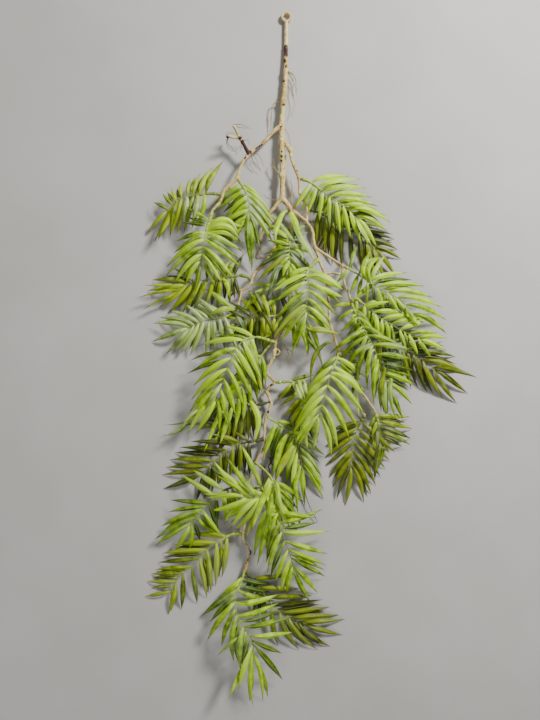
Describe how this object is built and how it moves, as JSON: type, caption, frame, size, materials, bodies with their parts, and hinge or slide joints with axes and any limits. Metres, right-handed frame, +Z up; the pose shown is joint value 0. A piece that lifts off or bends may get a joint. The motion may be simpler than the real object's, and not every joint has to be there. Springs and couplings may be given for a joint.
{
  "type": "artificial palm branch",
  "caption": "Decorative artificial palm branch: forked bark-covered stem with a hanging eye and drooping moulded fronds of pointed leaflets, lying flat.",
  "frame": {"origin": "centre of the whole branch's plan, on the surface that it lies on", "axes": "+Y from the lowest fronds towards the hanging eye, +Z up from the surface, +X to the right seen from above with the eye at the top"},
  "size_m": [0.9802, 2.0614, 0.1098],
  "materials": {
    "cast_coating": "tan brushed-on coating over a steel eye and rod, satin, worn",
    "bark": "moulded tan bark with maroon chips and green tints, matte",
    "leaf_bright": "printed plastic leaf, bright yellow-green, satin",
    "leaf_fresh": "printed plastic leaf, mid green, satin",
    "leaf_olive": "printed plastic leaf, olive green with brown tips, satin",
    "leaf_pale": "printed plastic leaf, pale grey-green, satin",
    "leaf_shade": "printed plastic leaf, dark olive with brown tips, satin"
  },
  "bodies": {
    "root": {"hanging_eye": "cast_coating", "branch": "bark", "frond_left_1": "leaf_olive", "frond_left_2": "leaf_fresh", "frond_left_3": "leaf_bright", "frond_left_4": "leaf_olive", "frond_left_5": "leaf_pale", "frond_left_6": "leaf_bright", "frond_left_7": "leaf_fresh", "frond_left_8": "leaf_shade", "frond_left_9": "leaf_shade", "frond_left_10": "leaf_fresh", "frond_left_11": "leaf_olive", "frond_low_1": "leaf_bright", "frond_low_2": "leaf_bright", "frond_low_3": "leaf_bright", "frond_low_4": "leaf_shade", "frond_mid_1": "leaf_bright", "frond_mid_2": "leaf_fresh", "frond_mid_3": "leaf_olive", "frond_mid_4": "leaf_fresh", "frond_mid_5": "leaf_olive", "frond_right_1": "leaf_bright", "frond_right_2": "leaf_shade", "frond_right_3": "leaf_bright", "frond_right_4": "leaf_bright", "frond_right_5": "leaf_shade", "frond_right_6": "leaf_fresh", "frond_right_7": "leaf_bright", "frond_right_8": "leaf_shade", "frond_right_9": "leaf_olive"}
  },
  "joints": []
}
